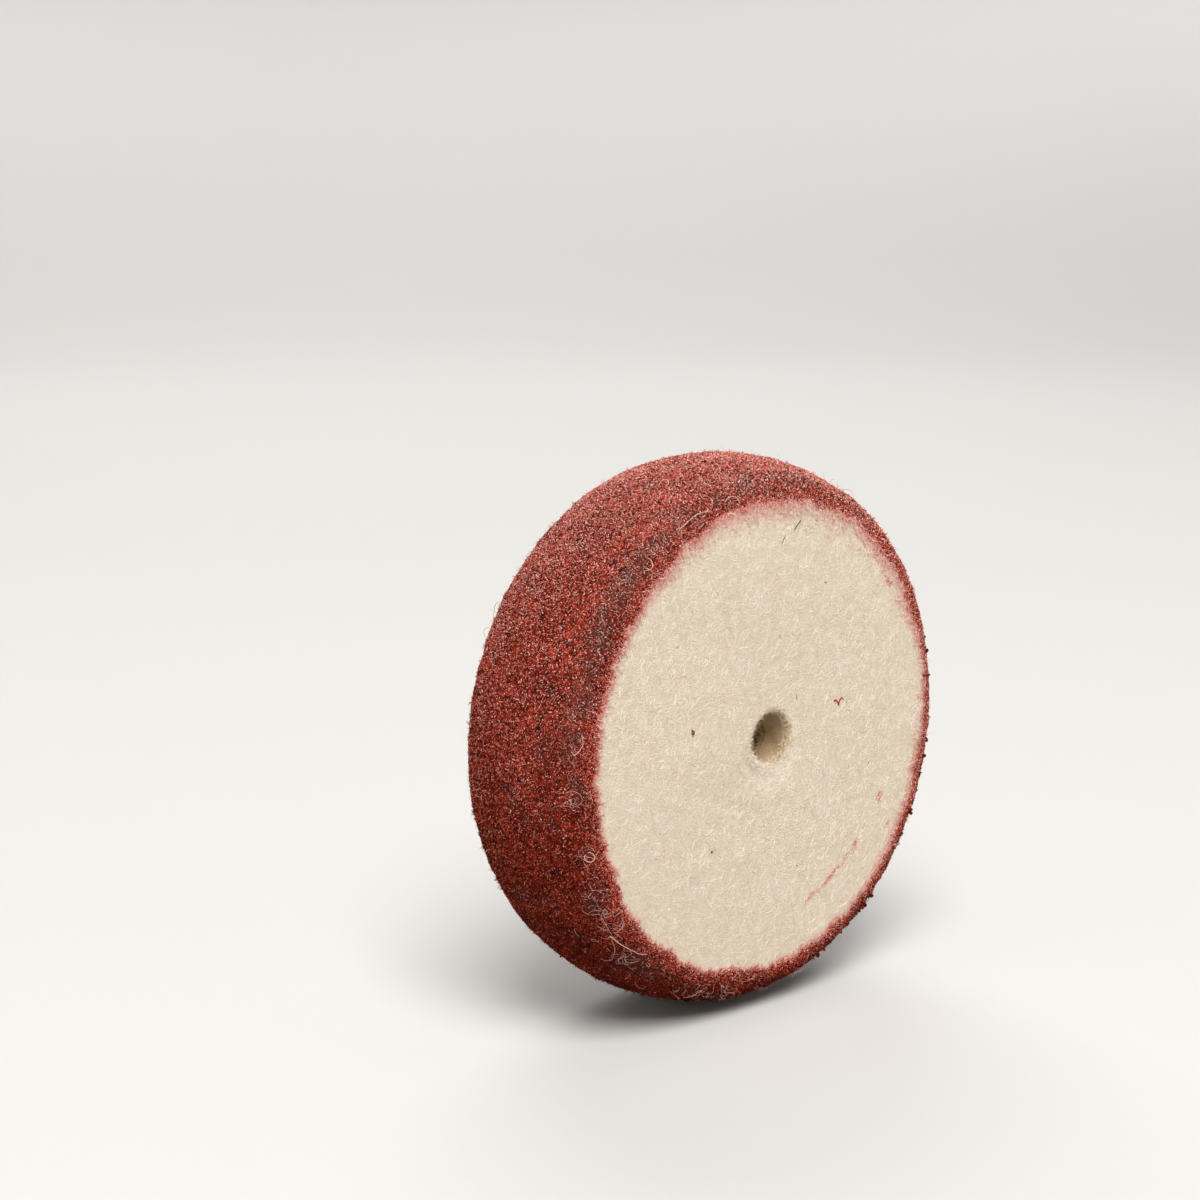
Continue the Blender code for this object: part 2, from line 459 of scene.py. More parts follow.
def copies(faces, count, each):
    """The faces of many copies of a shape that has so many points each."""
    return (faces[None] + each * np.arange(count)[:, None, None]).reshape(-1, faces.shape[1])


def unit(vectors):
    return vectors / (np.linalg.norm(vectors, axis=-1, keepdims=True) + 1e-12)


def tubes(paths, radii, sides):
    """Closed tapering tubes along many paths of the same number of points. radii holds one number a point.

    Returns the tubes' points and faces, and which tube each face belongs to."""
    count, steps, _ = paths.shape
    along = unit(np.gradient(paths, axis=1))
    helper = np.where(np.abs(along[:, 0, 1:2]) < 0.8, (0.0, 1.0, 0.0), (1.0, 0.0, 0.0))
    side = np.cross(along[:, 0], helper)
    rings = np.empty((count, steps - 1, sides, 3))
    angles = full_turn(sides)[:, None]
    for step in range(steps - 1):
        side = unit(side - (side * along[:, step]).sum(axis=-1, keepdims=True) * along[:, step])
        other = np.cross(along[:, step], side)
        spokes = np.cos(angles) * side[:, None] + np.sin(angles) * other[:, None]
        rings[:, step] = paths[:, step, None] + radii[:, step, None, None] * spokes
    points = np.concatenate([rings.reshape(count, -1, 3), paths[:, -1:]], axis=1)
    ring, each = np.arange(sides), points.shape[1]
    last = (steps - 2) * sides
    tips = np.stack([last + ring, last + (ring + 1) % sides, np.full(sides, each - 1)], axis=-1)
    parts = (closed_grid(steps - 1, sides)[:-sides], tips, ring[None, ::-1])
    owners = np.concatenate([np.repeat(np.arange(count), len(part)) for part in parts])
    return points.reshape(-1, 3), [copies(part, count, each) for part in parts], owners


def hair_piece(name, paths, thickness, kinds, materials, tip=0.45, sides=3):
    """A piece of many hairs, slimmer at the tip. kinds says which material each hair has."""
    radii = (thickness / 2)[:, None] * np.linspace(1.0, tip, paths.shape[1])[None]
    points, faces, owners = tubes(paths, radii, sides)
    points[:, 2] = np.maximum(points[:, 2], LOWEST_HAIR)
    piece_of(name, mesh_of(name, points, faces, materials, kinds[owners]))


def rooted(clock, run, depth):
    """Places a little below the coat's surface, and the normals there."""
    base, normals = on_outline(clock, run)
    return base + (coat_height(clock, run)[0] - depth)[:, None] * normals, normals


def curled(roots, normals, clock, azimuth, length, rise, bend, twist, steps):
    """Paths of hairs that rise from the surface and bend over it."""
    along = around(clock + math.pi / 2, 1.0, 0.0)
    across = np.cross(normals, along)
    path = [roots]
    for step in range(steps - 1):
        share = (step + 0.5) / (steps - 1)
        climb, heading = rise - bend * share, azimuth + twist * share
        flat = np.cos(heading)[:, None] * along + np.sin(heading)[:, None] * across
        path.append(path[-1] + (length / (steps - 1))[:, None]
                    * (np.cos(climb)[:, None] * flat + np.sin(climb)[:, None] * normals))
    return np.stack(path, axis=1)


def laid(clock, run, heading, bends, length, height):
    """Paths of fibres that lie along the wheel's surface.

    heading is the way each fibre sets out: 0 clockwise, a quarter turn towards greater run. bends holds its
    turn at each step, and height how far each of its points stands above the ground."""
    headings = heading[:, None] + np.cumsum(bends, axis=1)
    stride = (length / bends.shape[1])[:, None]
    sideways, forward = (np.pad(np.cumsum(stride * part(headings), axis=1), ((0, 0), (1, 0)))
                         for part in (np.cos, np.sin))
    clocks = clock[:, None] + sideways / section(run)[0][:, None]
    runs = run[:, None] + forward
    points, normals = on_outline(clocks, runs)
    return points + (ground(clocks, runs) + height)[..., None] * normals


def wavy(count, steps, curl, wobble, rng):
    """Turns at each step for fibres that curl one way by up to curl in all, and wobble at each step."""
    return rng.uniform(-curl, curl, count)[:, None] / steps + rng.normal(0, wobble, (count, steps))


def arched(count, steps, start, middle, end):
    """Heights of fibres that lift off the ground between their ends."""
    share = np.linspace(0, 1, steps)
    return np.tile(start + (end - start) * share + (middle - start) * np.sin(math.pi * share), (count, 1))


def crumbs(name, clock, run, sizes, lift, kinds, materials, rng):
    """A piece of many small uneven lumps on the surface. lift is each lump's height in its own sizes."""
    ball = bmesh.new()
    bmesh.ops.create_icosphere(ball, subdivisions=2, radius=0.5)
    shape = np.array([point.co for point in ball.verts])
    corners = np.array([[point.index for point in face.verts] for face in ball.faces])
    ball.free()
    count = len(clock)
    base, normals = on_outline(clock, run)
    middles = base + (ground(clock, run) + lift * sizes)[:, None] * normals
    stretch = rng.uniform(0.5, 1.3, (count, 1, 3))
    uneven = 1 + 0.45 * noise(shape[None] * 2.2 + rng.uniform(0, 90, (count, 1, 3)), 1.0, 71)
    points = middles[:, None] + shape[None] * stretch * uneven[..., None] * sizes[:, None, None]
    faces = copies(corners, count, len(shape))
    mesh = mesh_of(name, points, [faces], materials, np.repeat(kinds, len(corners)))
    piece_of(name, mesh)


def joined(parts):
    """One array for each column of rows of arrays."""
    return (np.concatenate(part) for part in zip(*parts))


# ---- materials

class Tree:
    """A Principled material and short ways to add nodes to it."""

    def __init__(self, name, roughness, specular, sheen=0.0, sheen_colour=(1, 1, 1), sheen_rough=0.5):
        self.material = bpy.data.materials.new(name)
        self.material.use_nodes = True
        self.nodes, self.links = self.material.node_tree.nodes, self.material.node_tree.links
        self.shader = self.nodes["Principled BSDF"]
        self.put(self.shader, {"Roughness": roughness, "Specular IOR Level": specular, "Sheen Weight": sheen,
                               "Sheen Roughness": sheen_rough, "Sheen Tint": sheen_colour})
        self.place = self.add("ShaderNodeTexCoord", "Object", {})

    def put(self, node, sockets):
        """Links or sets a node's sockets, which are given by name or number."""
        for key, value in sockets.items():
            if isinstance(value, bpy.types.NodeSocket):
                self.links.new(value, node.inputs[key])
            else:
                node.inputs[key].default_value = (*value, 1) if isinstance(value, tuple) else value

    def add(self, kind, output, sockets, **settings):
        """Adds a node and returns one of its outputs."""
        node = self.nodes.new(kind)
        for name, value in settings.items():
            setattr(node, name, value)
        self.put(node, sockets)
        return node.outputs[output]

    def noise(self, size, detail=2.0, roughness=0.5):
        """Noise from 0 to 1 with features of about the given size."""
        sockets = {"Vector": self.place, "Scale": 1 / size, "Detail": detail, "Roughness": roughness}
        return self.add("ShaderNodeTexNoise", "Fac", sockets)

    def field(self, name):
        return self.add("ShaderNodeAttribute", "Fac", {}, attribute_name=name)

    def plus(self, first, second):
        return self.add("ShaderNodeMath", 0, {0: first, 1: second}, operation="ADD")

    def times(self, first, second):
        return self.add("ShaderNodeMath", 0, {0: first, 1: second}, operation="MULTIPLY")

    def ramp(self, value, low, high, to_low=0.0, to_high=1.0):
        sockets = dict(enumerate((value, low, high, to_low, to_high)))
        return self.add("ShaderNodeMapRange", "Result", sockets, interpolation_type="SMOOTHSTEP")

    def layers(self, colour, shares):
        """Lays colours over a first one. shares pairs how much each one covers with the colour."""
        for share, over in shares:
            colour = self.add("ShaderNodeMix", 2, {0: share, 6: colour, 7: over}, data_type="RGBA")
        return colour

    def bump(self, height, strength, distance):
        sockets = {"Height": height, "Strength": strength, "Distance": distance}
        return self.add("ShaderNodeBump", "Normal", sockets)

    def finish(self, **sockets):
        self.put(self.shader, {name.replace("_", " "): value for name, value in sockets.items()})
        return self.material


def felt_material():
    """Cream felt: mottled, stained pink next to the red rim, with painted tan shade and a lighter painted
    fill in the hole.
    """
    tree = Tree("cream_felt", 0.95, 0.15, sheen=0.15, sheen_colour=(1.0, 0.96, 0.9))
    fibres = tree.ramp(tree.noise(0.30 * MM, 3, 0.85), 0.36, 0.64)
    blotches = tree.ramp(tree.noise(11 * MM, 3, 0.6), 0.58, 0.8, 0.0, 0.3)
    smudge = tree.plus(tree.field("smudge"), blotches)
    ragged = tree.times(tree.plus(tree.noise(0.45 * MM, 3, 0.8), -0.5), 3.4)
    bleed = tree.plus(tree.field("bleed"), ragged)
    streak = tree.plus(tree.field("streak"), tree.times(ragged, 0.45))
    inside = tree.field("inside")
    colour = tree.layers(CREAM, [
        (tree.ramp(tree.noise(2.6 * MM, 4, 0.65), 0.36, 0.64), CREAM_LIGHT),
        (tree.times(fibres, 0.50), CREAM_SHADE),
        (tree.times(tree.ramp(tree.noise(0.8 * MM, 2, 0.6), 0.64, 0.76), 0.32), CREAM_WHITE),
        # A painted highlight: the worn edge below the hole is whiter
        (tree.field("clean"), CREAM_WHITE),
        (tree.times(smudge, tree.ramp(tree.noise(1.1 * MM, 3, 0.7), 0.3, 0.65)), SMUDGE),
        (tree.ramp(bleed, -0.1, 0.6, 0.0, 0.8), PALE_PINK),
        (tree.ramp(bleed, 0.45, 1.05, 0.0, 0.9), PINK),
        (tree.ramp(bleed, 1.0, 1.5), RED),
        (tree.ramp(streak, 0.15, 0.95, 0.0, 0.55), STREAK),
        # Painted shade inside the hole, tan, and a lighter painted fill further in, where the light falls off
        (tree.ramp(inside, 0, 1), SHADE_TAN),
        (tree.ramp(inside, 1, 2), DEEP_FILL_TAN),
    ])
    normal = tree.bump(tree.plus(tree.noise(0.35 * MM, 3, 0.7), tree.times(fibres, 0.6)), 1.0, 0.24 * MM)
    return tree.finish(Base_Color=colour, Roughness=tree.ramp(fibres, 0, 1, 0.88, 1.0), Normal=normal)


def coat_material():
    """Red compound caked on the felt: painted shade in the cracks, red on the grains, charred along the
    shoulder.
    """
    tree = Tree("red_compound", 0.9, 0.03)
    fine = tree.noise(0.33 * MM, 3, 0.75)
    tops = tree.layers(DEEP_RED, [(tree.ramp(tree.noise(7 * MM, 3, 0.6), 0.35, 0.65), RED)])
    # Painted shade: the cracks between the grains are maroon, the grain tops red
    level = tree.plus(tree.field("grain"), tree.times(tree.plus(fine, -0.5), 2.0))
    colour = tree.layers(MAROON, [
        (tree.ramp(level, 0.35, 1.2), tops),
        (tree.times(tree.field("char"), tree.ramp(fine, 0.3, 0.6)), CHAR),
        (tree.times(tree.ramp(fine, 0.62, 0.72), 0.4), ROSE),
    ])
    return tree.finish(Base_Color=colour, Roughness=tree.ramp(fine, 0.3, 0.7, 0.8, 1.0),
                       Normal=tree.bump(fine, 0.9, 0.25 * MM))


def hair_material(name, colour, sheen=0.1, sheen_colour=(1.0, 0.85, 0.8)):
    return Tree(name, 0.75, 0.02, sheen, sheen_colour, 0.4).finish(Base_Color=colour)


def hair_materials(prefix, **colours):
    """Materials without sheen, by the names of their colours."""
    return {name: hair_material(f"{prefix}_{name}", colour, sheen=0.0) for name, colour in colours.items()}


def studio_material():
    """Pale grey, lighter up the wall."""
    tree = Tree("pale_floor", 0.85, 0.15)
    up = tree.add("ShaderNodeSeparateXYZ", "Z", {0: tree.place})
    height = tree.plus(tree.ramp(up, -0.06, 0.40, 0.0, 0.96), tree.times(tree.noise(0.3), 0.04))
    return tree.finish(Base_Color=tree.layers(FLOOR_GREY, [(height, WALL_GREY)]))


# ---- the felt body

def streak_radius(clock):
    """The radius at which the thin red streak runs."""
    path = np.interp(clock, *STREAK_PATH)
    ring = around(clock, path, 0.0)
    return path + 0.5 * MM * noise(ring, 3.5 * MM, 41) + 0.45 * MM * noise(ring, 1.2 * MM, 44)


def streak_field(clock, radius):
    """How strongly the thin red streak marks the front face: an arc that comes and goes."""
    path, strength = streak_radius(clock), np.interp(clock, *STREAK_STRENGTH)
    broken = 0.7 + 0.9 * noise(around(clock, path, 0.0), 1.8 * MM, 42)
    return (1 - np.abs(radius - path) / (0.95 * MM)) * strength * np.clip(broken, 0, 1.2)


def smudge_field(clock, radius):
    """The greyish pressed arcs round the hole, strongest at its lower left."""
    arcs = 0.36 + 0.7 * noise(turned_arcs(clock, radius, 0.9), 1.1 * MM, 43)
    spread = ((radius - SMUDGE_RADIUS) / (5.5 * MM)) ** 2 + (np.sin((clock - SMUDGE_CLOCK) / 2) / 0.42) ** 2
    return (np.exp(-spread) * arcs).clip(0, 1)


def felt_rows():
    """Radius, y, the normal's two parts, run without its sign, and whether a row lies in the hole and on the
    outside, for each row round the felt's closed section. The hole's rounded edges count as both."""
    walls = np.sin(np.linspace(-1, 1, 25)[1:-1] * math.pi / 2) * (HALF_WIDTH - LIP_RADIUS)
    hole = [(BORE_RADIUS, y, -1, 0, 0, 1, 0) for y in walls]
    rear = []
    for angle in np.linspace(0, math.pi / 2, 9):
        radius, y = lip(angle)
        rear.append((radius, y, -math.cos(angle), math.sin(angle), face_run(radius), 1, 1))
    face = face_run(np.linspace(LIP_END, FACE_RADIUS, FACE_ROWS + 1)[1:])
    shoulder = FACE_RUN - (FACE_RUN - CROWN_RUN) * np.linspace(0, 1, 12)[1:] ** 1.4
    for run in (*face, *shoulder, CROWN_RUN * 2 / 3, CROWN_RUN / 3):
        rear.append((*section(run), run, 0, 1))
    front = [(radius, -y, out, -along, *rest) for radius, y, out, along, *rest in reversed(rear)]
    return np.array([*hole, *rear, (*section(0), 0, 0, 1), *front], float).T[:, :, None]


def make_felt_body():
    """The disc of felt: both faces, the hole with its soft edges, and the part that the coat hides."""
    radius, y, out, along, far, hole, outside = felt_rows()
    hole, outside = hole > 0, outside > 0
    clock, radius, y, far = np.broadcast_arrays(full_turn(FELT_TURNS), radius, y, far)
    base, normal = around(clock, radius, y), around(clock, out, along)
    front = y < 0
    run = np.where(front, -far, far)
    height = np.where(outside, felt_height(base, clock, run), 0.0)
    height = height + np.where(hole, hole_height(base, clock, radius, out), 0.0)
    points = base + height[..., None] * normal
    mesh = mesh_of("felt_body_visual", points, [closed_grid(*clock.shape)[:, ::-1]], [felt_material()])

    bleed = np.where(front, bleed_width(clock, -1), REAR_BLEED) * (0.8 + 0.6 * noise(base, 5 * MM, 27))
    stain = 1 + inside_red(clock, run) / np.maximum(bleed, 0.2 * MM)
    near_hole = radius < BORE_RADIUS + 1.5 * LIP_RADIUS
    # Painted shade in the hole: tan from a little way in, starting deeper where the edge is painted as lit,
    # then a lighter painted fill
    lean = 0.7 * towards(clock, LEAN_CLOCK) * MM
    depth = HALF_WIDTH - np.abs(y) - lean + 0.4 * MM * noise(base, 1.2 * MM, 28)
    light_rim = (0.6 + 2.4 * towards(clock, LIGHT_LIP_CLOCK) ** 5) * MM
    inside = (depth / light_rim).clip(0, 1) + ((depth - 3 * MM) / (6 * MM)).clip(0, 1)
    # The worn edge below the hole gets a painted highlight
    add_fields(mesh, bleed=np.where(near_hole, -2.0, stain).clip(-2, 2),
               streak=np.where(outside & front, streak_field(clock, radius), -2.0),
               smudge=np.where(outside, smudge_field(clock, radius), 0.0),
               clean=0.4 * scoop(clock, radius, y), inside=np.where(hole, inside, 0))
    piece = piece_of("felt_disc", mesh)
    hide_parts("felt_body")


def make_face_fuzz(name, side, materials, seed):
    """The felt's loose fibres, which lie on a face in all directions, mostly round the wheel."""
    rng = np.random.default_rng(seed)
    count, steps = FUZZ_FIBRES, 5
    radius = np.sqrt(rng.uniform(LIP_END ** 2, (FACE_RADIUS - 0.5 * MM) ** 2, count))
    clock = rng.uniform(0, TURN, count)
    heading = rng.normal(0, 1.0, count) + math.pi * rng.integers(0, 2, count)
    bends = wavy(count, steps - 1, 1.6, 0.25, rng)
    length = rng.uniform(0.8, 2.6, count) * MM
    height = arched(count, steps, -0.02 * MM, 0.02 * MM, -0.02 * MM) * rng.uniform(0.4, 1.8, (count, 1))
    paths = laid(clock, side * face_run(radius), heading, bends, length, height)
    kinds = rng.choice(3, count, p=[0.48, 0.30, 0.22])
    hair_piece(name, paths, rng.uniform(0.05, 0.10, count) * MM, kinds, materials)


def make_lip_fibres(materials):
    """Fibres round both edges of the hole, more and longer where it is light, and some red ones inside."""
    rng = np.random.default_rng(12)
    count, stained = BORE_FIBRES, BORE_STAINED
    side = np.where(np.arange(count) < count * 0.6, -1, 1)
    clock = LIGHT_LIP_CLOCK + np.where(rng.uniform(0, 1, count) < 0.35, rng.normal(0, 0.7, count),
                                       rng.uniform(-math.pi, math.pi, count))
    light = towards(clock, LIGHT_LIP_CLOCK)
    down = rng.uniform(0.1, 1.0, count) * (LIP_ARC + 1.0 * light ** 3 * MM)
    side[-stained:] = -1
    clock[-stained:] = rng.normal(STAIN_CLOCK, 0.35, stained)
    down[-stained:] = rng.uniform(7.0, 9.5, stained) * MM
    angle = np.maximum(math.pi / 2 - down / LIP_RADIUS, 0)
    radius, y = lip(angle)
    base = around(clock, radius, side * (y - np.maximum(down - LIP_ARC, 0)))
    normals = around(clock, -np.cos(angle), side * np.sin(angle))
    height = hole_height(base, clock, radius, -np.cos(angle))
    height = height + np.where(angle > 0, felt_height(base, clock, side * face_run(radius)), 0)
    roots = base + (height - 0.05 * MM)[:, None] * normals
    length = rng.uniform(0.5, 1.3, count) * (0.7 + 0.7 * light ** 2) * MM
    rise, bend = np.radians(rng.uniform(15, 80, count)), rng.uniform(0.2, 1.6, count)
    azimuth, twist = rng.uniform(0, TURN, count), rng.normal(0, 1.0, count)
    paths = curled(roots, normals, clock, azimuth, length, rise, bend, twist, 6)
    # The tan fibres are painted shade
    kinds = rng.choice(4, count, p=[0.42, 0.40, 0.10, 0.08])
    kinds[-stained:] = 4
    thickness = rng.uniform(0.04, 0.07, count) * MM
    thickness[-stained:] *= 1.8
    hair_piece("bore_fibres", paths, thickness, kinds, materials)


# ---- the rim's coat and nap

def char_field(clock, run):
    """How charred the coat is: patches along the shoulders, and small ones elsewhere."""
    points, _ = on_outline(clock, run)
    patches = ramp(noise(points, 6 * MM, 51) + 0.6 * noise(points, 2.5 * MM, 52), -0.35, 0.5)
    front = np.exp(-((run - BAND_RUN) / BAND_REACH) ** 2)
    rear = 0.8 * np.exp(-((run + BAND_RUN) / BAND_REACH) ** 2)
    spots = 0.7 * ramp(noise(points, 5 * MM, 53) + 0.5 * noise(points, 2 * MM, 54), 0.6, 0.95)
    return np.clip((front + rear) * patches + spots, 0, 1)


def make_coat():
    """The coat's skin: a grainy outer surface, and a smooth inner one that closes it."""
    clock = full_turn(COAT_TURNS)[None]
    front, rear = edge_of_red(clock, -1) - COAT_TUCK, edge_of_red(clock, 1) + COAT_TUCK
    share = np.concatenate([np.linspace(0, 1, COAT_ROWS), np.linspace(1, 0, COAT_INNER_ROWS)])[:, None]
    outer = np.arange(len(share))[:, None] < COAT_ROWS
    run = front + (rear - front) * share
    clock = np.broadcast_to(clock, run.shape)
    base, normal = on_outline(clock, run)
    height, grain = coat_height(clock, run)
    points = base + np.where(outer, height, -COAT_DEPTH)[..., None] * normal
    mesh = mesh_of("rim_coat_visual", points, [closed_grid(*run.shape)[:, ::-1]], [coat_material()])
    add_fields(mesh, grain=np.where(outer, grain, 0), char=np.where(outer, char_field(clock, run), 0))
    piece = piece_of("rim_skin", mesh)
    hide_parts("rim_coat")


def nap_places(count):
    """Clocks and runs spread evenly over the coat, by the plastic number's sequence."""
    index = np.arange(1, count + 1)
    clock = TURN * ((index / PLASTIC_NUMBER) % 1)
    front, rear = edge_of_red(clock, -1), edge_of_red(clock, 1)
    return clock, front + (rear - front) * ((index / PLASTIC_NUMBER ** 2) % 1)


def nap_kinds(clock, run, rng):
    """Which hair gets which nap colour: painted light and sheen above, with some dust; painted shade below;
    dark and grey where charred.
    """
    points, normals = on_outline(clock, run)
    char = char_field(clock, run)
    broad = noise(points, 8 * MM, 61) + 0.5 * noise(points, 3 * MM, 62)
    fresh = np.exp(-(inside_red(clock, run) / FRESH_REACH) ** 2)
    pinker_side = np.exp(-((clock - PINKER_CLOCK) / 0.8) ** 2) * (normals[:, 1] < -0.5)
    # Painted light from above and painted sheen, with some dust: the more a hair faces up, the paler and
    # pinker it is
    light_and_dust = ((normals[:, 2] + 0.7) / 1.5 + 0.06 * broad + 0.22 * pinker_side).clip(0, 1)
    plain = 1 - 0.75 * fresh
    weights = {
        # Deep red and maroon below are painted shade, and the maroon hairs everywhere stand for the shade
        # between hairs
        "deep_red": (2.0 - 1.9 * light_and_dust) * plain,
        "red": 0.9 + 2.0 * light_and_dust - 2.3 * light_and_dust ** 2 + 0.3 * fresh,
        "bright_red": 0.35 + 2.1 * light_and_dust - 2.0 * light_and_dust ** 2 + 0.25 * broad + 1.2 * fresh * (1 - 0.6 * light_and_dust),
        "dusty_red": 1.6 * light_and_dust + 1.5 * fresh,
        "rose": 0.3 * light_and_dust + 1.6 * light_and_dust ** 2 + 2.2 * fresh * light_and_dust + 0.35 * fresh,
        "pale": 0.8 * light_and_dust ** 2 + 2.2 * fresh * light_and_dust ** 3,
        "maroon": (2.6 - 1.35 * light_and_dust - 0.4 * broad + 0.9 * char * (1.2 - light_and_dust)) * plain,
        "fawn": 0.04 + 0.12 * light_and_dust,
        "char": 0.04 + (2.8 - 1.3 * light_and_dust) * char * (1 - fresh),
        "grey": 0.01 + 0.9 * char * (1 - fresh) * (0.25 + 0.75 * light_and_dust),
    }
    weights = np.stack([weights[name] for name in NAP_COLOURS], axis=-1).clip(0.01, None)
    limits = np.cumsum(weights / weights.sum(axis=-1, keepdims=True), axis=-1)
    return (rng.uniform(0, 1, len(clock))[:, None] > limits[:, :-1]).sum(axis=-1)


def make_nap(materials):
    """The short curly wool that stands out of the coat, in patches round the wheel."""
    rng = np.random.default_rng(7)
    clock, run = nap_places(NAP_HAIRS)
    kinds = nap_kinds(clock, run, rng)
    roots, normals = rooted(clock, run, 0.06 * MM)
    count = len(clock)
    length = rng.uniform(0.28, 0.58, count) * MM
    rise = np.radians(rng.uniform(55, 105, count))
    bend = rise * rng.uniform(1.0, 2.4, count)
    azimuth, twist = rng.uniform(0, TURN, count), rng.normal(0, 1.2, count)
    paths = curled(roots, normals, clock, azimuth, length, rise, bend, twist, 4)
    thickness = rng.uniform(0.11, 0.19, count) * MM
    patch = (clock / TURN * NAP_PIECES).astype(int)
    for k in range(NAP_PIECES):
        here = patch == k
        hair_piece(f"rim_nap_{k + 1}", paths[here], thickness[here], kinds[here], materials)


def make_fringe(name, side, materials, seed):
    """Hairs of the coat's ragged edge, which lie over the cream felt and thin out on it."""
    rng = np.random.default_rng(seed)
    count, steps = FRINGE_HAIRS, 5
    clock = rng.uniform(0, TURN, 4 * count)
    wide = bleed_width(clock, side)
    clock = clock[rng.uniform(0, 1.3, 4 * count) < 0.3 + wide / wide.max()][:count]
    past = np.abs(rng.normal(0, 0.5, count)) * (0.4 * MM + bleed_width(clock, side))
    run = edge_of_red(clock, side) + side * (past - 0.7 * MM)
    heading = side * math.pi / 2 + rng.normal(0, 0.7, count)
    bends = wavy(count, steps - 1, 1.5, 0.3, rng)
    length = rng.uniform(0.35, 0.95, count) * MM
    height = arched(count, steps, 0.0, 0.24 * MM, 0.02 * MM) * rng.uniform(0.3, 1.3, (count, 1))
    paths = laid(clock, run, heading, bends, length, height)
    fading = past / (2.2 * MM) + rng.normal(0, 0.14, count)
    mixed = rng.choice([1, 2, 2, 3, 3, 4, 5, 6], count)
    kinds = np.select([fading < 0.12, fading < 0.40], [mixed, rng.choice([2, 3, 4, 4, 5, 10], count)],
                      rng.choice([4, 5, 10, 10, 10], count))
    hair_piece(name, paths, rng.uniform(0.06, 0.12, count) * MM, kinds, materials)


def make_stubble(materials):
    """Tufts of short hairs that stand up out of the nap and roughen the wheel's outline."""
    rng = np.random.default_rng(23)
    each = 5
    tufts = STUBBLE_HAIRS // each
    clock, run = rng.uniform(0, TURN, tufts), rng.uniform(-FACE_RUN, FACE_RUN, tufts) * 0.97
    azimuth, tall = rng.uniform(0, TURN, tufts), rng.uniform(0.5, 1.15, tufts) * MM
    clock, run, azimuth, tall = (np.repeat(part, each) for part in (clock, run, azimuth, tall))
    count = len(clock)
    clock = clock + rng.normal(0, 0.16 * MM, count) / WHEEL_RADIUS
    run = run + rng.normal(0, 0.16 * MM, count)
    roots, normals = rooted(clock, run, 0.05 * MM)
    rise, bend = np.radians(rng.uniform(40, 90, count)), rng.uniform(0.0, 1.2, count)
    azimuth, twist = azimuth + rng.normal(0, 0.5, count), rng.normal(0, 0.8, count)
    paths = curled(roots, normals, clock, azimuth, tall * rng.uniform(0.7, 1.1, count), rise, bend, twist, 4)
    kinds = nap_kinds(clock, run, rng)
    hair_piece("rim_stubble", paths, rng.uniform(0.07, 0.13, count) * MM, kinds, materials)


# ---- lint, crumbs and marks

def make_lint(materials):
    """Pale lint caught on the shoulders in tufts, and single hairs all over the rim."""
    rng = np.random.default_rng(31)
    parts = []
    for clock, run, hairs, spread in LINT_TUFTS:
        parts.append((math.radians(clock) + rng.normal(0, spread * MM, hairs) / WHEEL_RADIUS,
                      run * MM + rng.normal(0, 0.5 * spread * MM, hairs),
                      rng.uniform(1.5, 4.5, hairs) * MM, rng.uniform(0.5, 0.95, hairs) * MM))
    single = SHOULDER_LINT + SCATTERED_LINT
    clocks = rng.uniform(0, TURN, single)
    band = rng.choice([-1, 1], SHOULDER_LINT) * (-BAND_RUN + rng.normal(0, 1.3 * MM, SHOULDER_LINT))
    parts.append((clocks, np.concatenate([band, rng.uniform(-FACE_RUN, FACE_RUN, SCATTERED_LINT)]),
                  rng.uniform(0.9, 2.6, single) * MM, rng.uniform(0.35, 0.75, single) * MM))
    clock, run, length, lift = joined(parts)
    count, steps = len(clock), 9
    bends = wavy(count, steps - 1, 5.0, 0.45, rng)
    height = arched(count, steps, 0.2, 1.0, 0.2) * lift[:, None]
    paths = laid(clock, run, rng.uniform(0, TURN, count), bends, length, height)
    kinds = rng.choice(2, count, p=[0.7, 0.3])
    hair_piece("shoulder_lint", paths, rng.uniform(0.035, 0.06, count) * MM, kinds, materials, tip=0.7)


def make_stray_hairs(materials):
    """Longer loose hairs that stand off the rim and show on its outline."""
    rng = np.random.default_rng(33)
    count = STRAY_HAIRS
    clock, run = rng.uniform(0, TURN, count), rng.uniform(-FACE_RUN, FACE_RUN, count)
    base, normals = on_outline(clock, run)
    length = rng.uniform(0.9, 2.4, count) * MM
    rise, bend = np.radians(rng.uniform(35, 85, count)), rng.uniform(0.5, 2.4, count)
    azimuth, twist = rng.uniform(0, TURN, count), rng.normal(0, 1.6, count)
    paths = curled(base, normals, clock, azimuth, length, rise, bend, twist, 9)
    kinds = rng.choice(2, count, p=[0.25, 0.75])
    hair_piece("stray_hairs", paths, rng.uniform(0.05, 0.08, count) * MM, kinds, materials, tip=0.6)


def make_loops(materials):
    """The few long hairs that can be told apart, each lying in a wide curl."""
    rng = np.random.default_rng(35)
    clock, run, heading, length, curl, lift = np.array(LOOSE_HAIRS, float).T
    count, steps = len(clock), 24
    bends = np.radians(curl)[:, None] / (steps - 1) + rng.normal(0, 0.09, (count, steps - 1))
    height = arched(count, steps, 0.3, 1.0, 0.3) * lift[:, None] * MM
    paths = laid(np.radians(clock), run * MM, np.radians(heading), bends, length * MM, height)
    thickness = np.full(count, 0.105) * MM
    hair_piece("long_hairs", paths, thickness, np.arange(count) % 2, materials, tip=0.7, sides=5)


